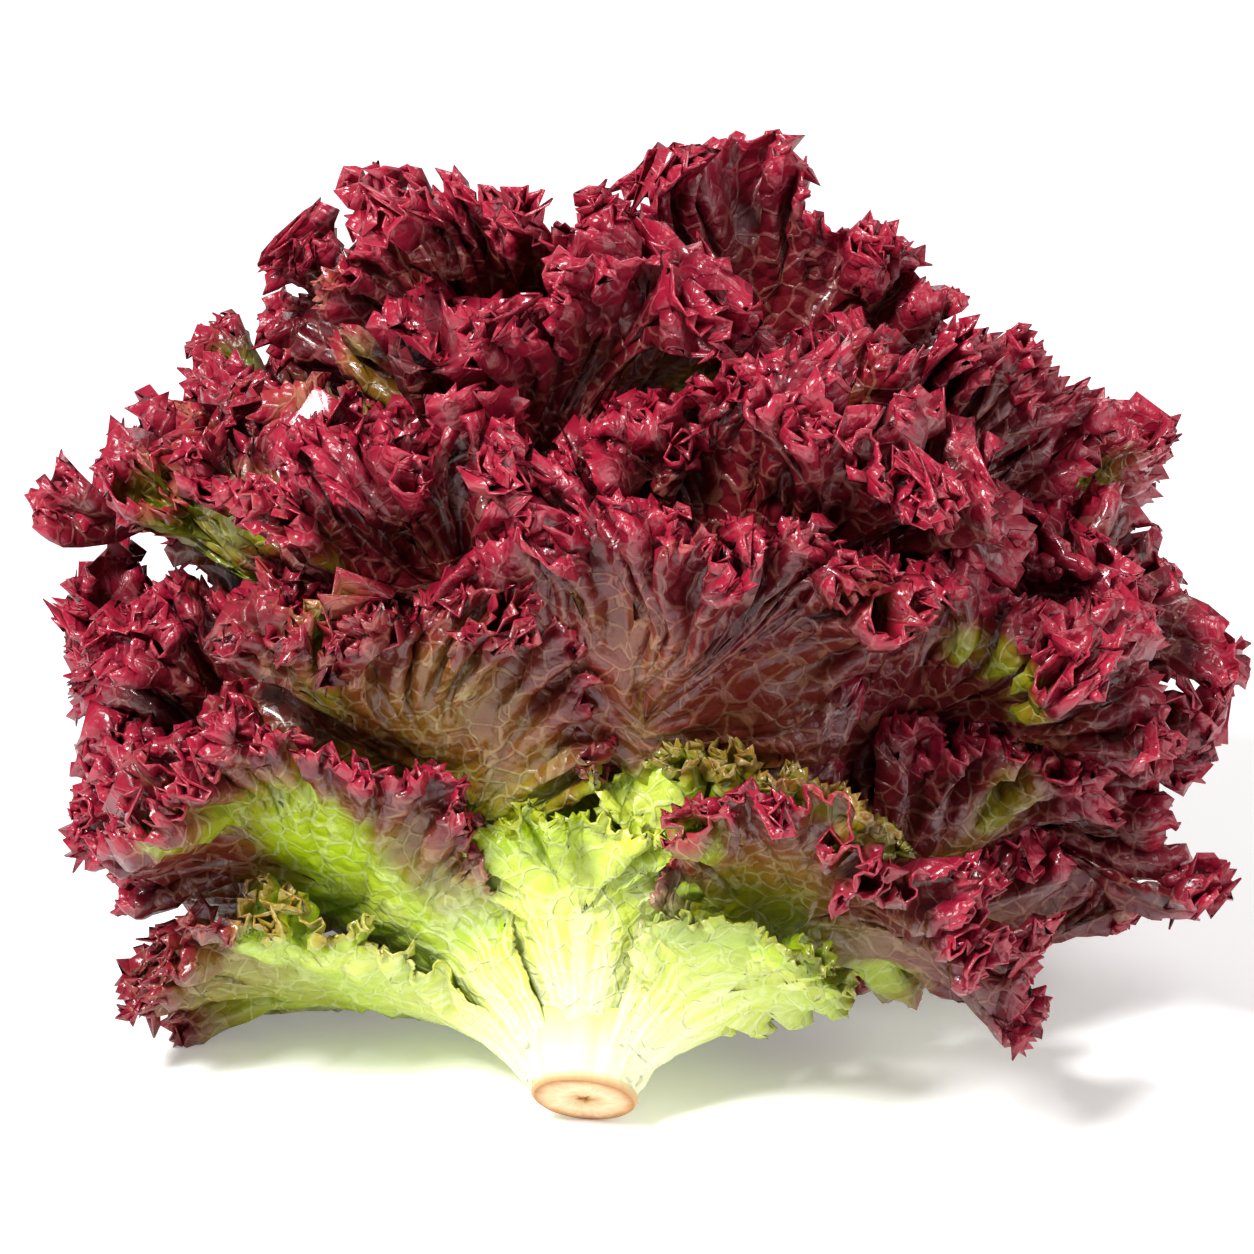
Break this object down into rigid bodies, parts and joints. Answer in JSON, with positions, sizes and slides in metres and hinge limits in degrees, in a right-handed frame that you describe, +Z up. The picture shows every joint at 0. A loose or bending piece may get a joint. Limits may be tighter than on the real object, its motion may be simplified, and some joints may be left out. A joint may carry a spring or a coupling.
{
  "type": "lettuce",
  "caption": "Lollo rosso lettuce: a loose ball of frilled burgundy leaves, pale green towards the cut stem, lying on its side.",
  "frame": {"origin": "on the table under the middle of the head's bounding box", "axes": "+Z up from the table; -Y to the front, where the cut stem points; +X to the right as seen from the front, the head's widest way"},
  "size_m": [0.2672, 0.261, 0.203],
  "materials": {
    "stem": "matt, moist cut",
    "green_leaf": "satin",
    "red_leaf": "glossy"
  },
  "bodies": {
    "root": {"cut_stem": "stem", "leaf_01": "red_leaf", "leaf_02": "green_leaf", "leaf_03": "red_leaf", "leaf_04": "red_leaf", "leaf_05": "red_leaf", "leaf_06": "red_leaf", "leaf_07": "green_leaf", "leaf_08": "red_leaf", "leaf_09": "red_leaf", "leaf_10": "red_leaf", "leaf_11": "red_leaf", "leaf_12": "red_leaf", "leaf_13": "red_leaf", "leaf_14": "red_leaf", "leaf_15": "red_leaf", "leaf_16": "red_leaf", "leaf_17": "red_leaf", "leaf_18": "red_leaf", "leaf_19": "red_leaf", "leaf_20": "red_leaf", "leaf_21": "red_leaf", "leaf_22": "red_leaf", "leaf_23": "red_leaf", "leaf_24": "red_leaf", "leaf_25": "red_leaf", "leaf_26": "red_leaf", "leaf_27": "red_leaf", "leaf_28": "red_leaf", "leaf_29": "red_leaf", "leaf_30": "red_leaf", "leaf_31": "red_leaf", "leaf_32": "red_leaf", "leaf_33": "red_leaf", "leaf_34": "red_leaf", "leaf_35": "red_leaf", "leaf_36": "red_leaf", "leaf_37": "red_leaf", "leaf_38": "red_leaf", "leaf_39": "red_leaf", "leaf_40": "red_leaf"}
  },
  "joints": []
}
